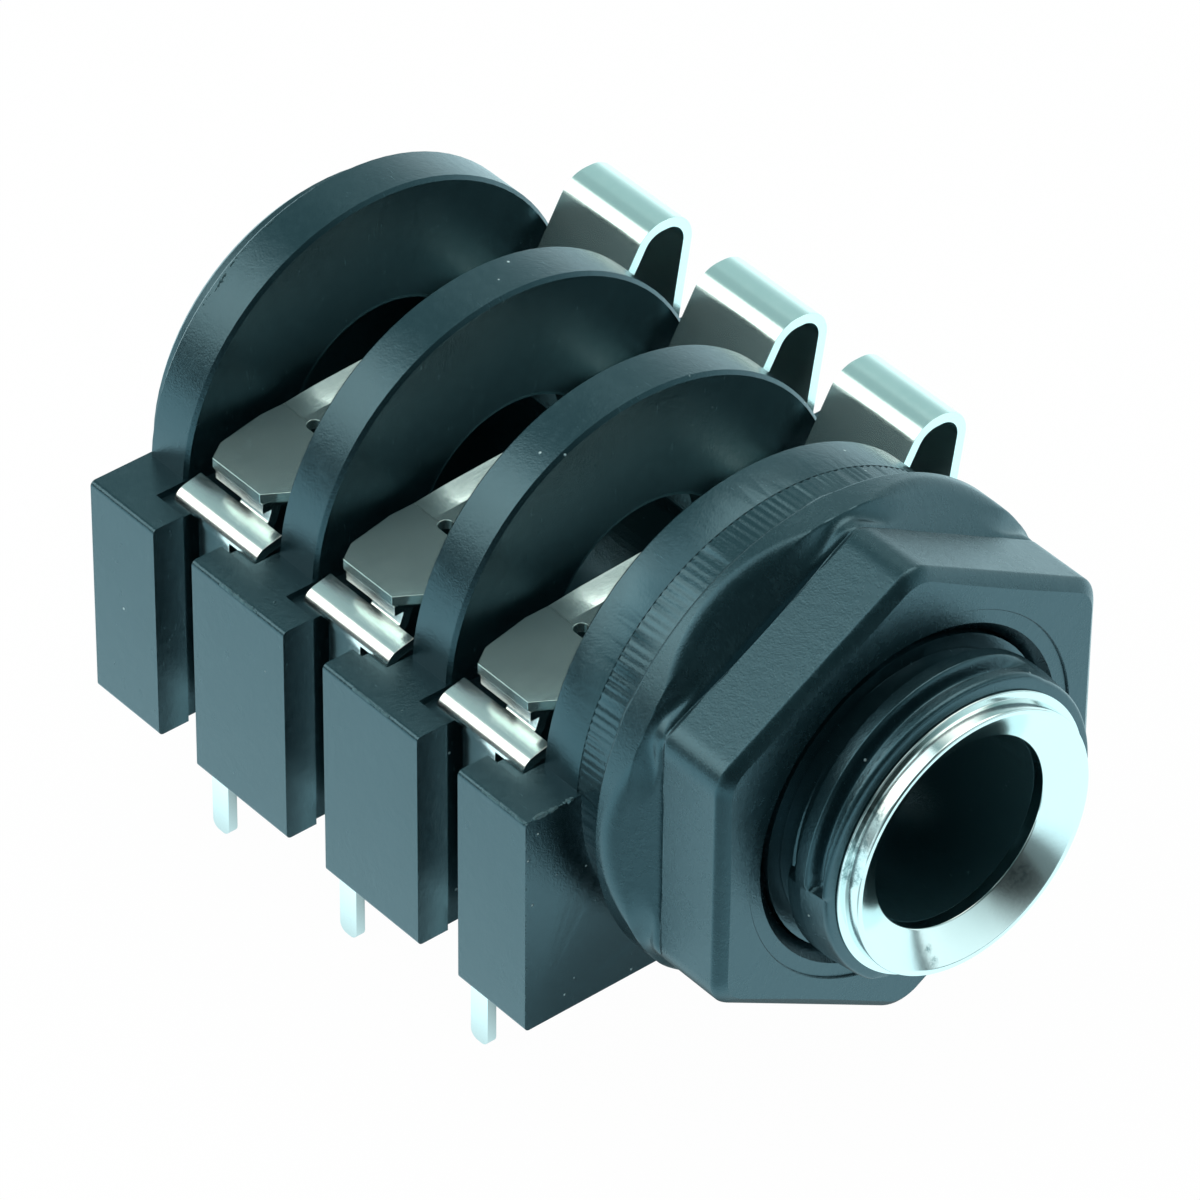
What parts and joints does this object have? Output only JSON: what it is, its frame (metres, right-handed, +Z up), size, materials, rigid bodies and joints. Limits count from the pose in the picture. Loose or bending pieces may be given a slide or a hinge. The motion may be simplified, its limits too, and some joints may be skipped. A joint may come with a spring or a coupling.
{
  "type": "audio jack socket",
  "caption": "Board-mount 6.35 mm audio jack socket with a disc-walled body, plated mouth ring, looped spring contacts, break contacts and a panel nut.",
  "frame": {"origin": "on the plug's axis, in the front face of the toothed collar that seats against the panel", "axes": "+X along the plug's axis out of the mouth, +Y across the bays towards the spring loops, +Z up from the board"},
  "size_m": [0.0304, 0.0198, 0.0201],
  "materials": {
    "body_plastic": "moulded black plastic, satin, fine scratches and flash",
    "nut_plastic": "moulded black plastic, satin",
    "ferrule_plating": "bright nickel plating, lightly marked",
    "spring_strip": "bright plated spring strip",
    "contact_strip": "bright plated strip"
  },
  "bodies": {
    "housing": {"body": "body_plastic", "ferrule": "ferrule_plating", "sleeve_break_contact": "contact_strip", "ring_break_contact": "contact_strip", "tip_break_contact": "contact_strip"},
    "nut": {"hex_nut": "nut_plastic"},
    "sleeve_contact": {"sleeve_spring": "spring_strip"},
    "ring_contact": {"ring_spring": "spring_strip"},
    "tip_contact": {"tip_spring": "spring_strip"}
  },
  "joints": [
    {"name": "nut_turn", "type": "hinge", "parent": "housing", "child": "nut", "pos_m": [0, 0, 0], "axis": [1, 0, 0], "continuous": true},
    {"name": "sleeve_lift", "type": "hinge", "parent": "housing", "child": "sleeve_contact", "pos_m": [-0.00532, 0.0081, -0.00766], "axis": [-1, 0, 0], "range_deg": [0, 10], "stiffness_Nm_per_rad": 0.06},
    {"name": "ring_lift", "type": "hinge", "parent": "housing", "child": "ring_contact", "pos_m": [-0.01167, 0.0081, -0.00766], "axis": [-1, 0, 0], "range_deg": [0, 10], "stiffness_Nm_per_rad": 0.06},
    {"name": "tip_lift", "type": "hinge", "parent": "housing", "child": "tip_contact", "pos_m": [-0.01802, 0.0081, -0.00766], "axis": [-1, 0, 0], "range_deg": [0, 10], "stiffness_Nm_per_rad": 0.06}
  ]
}
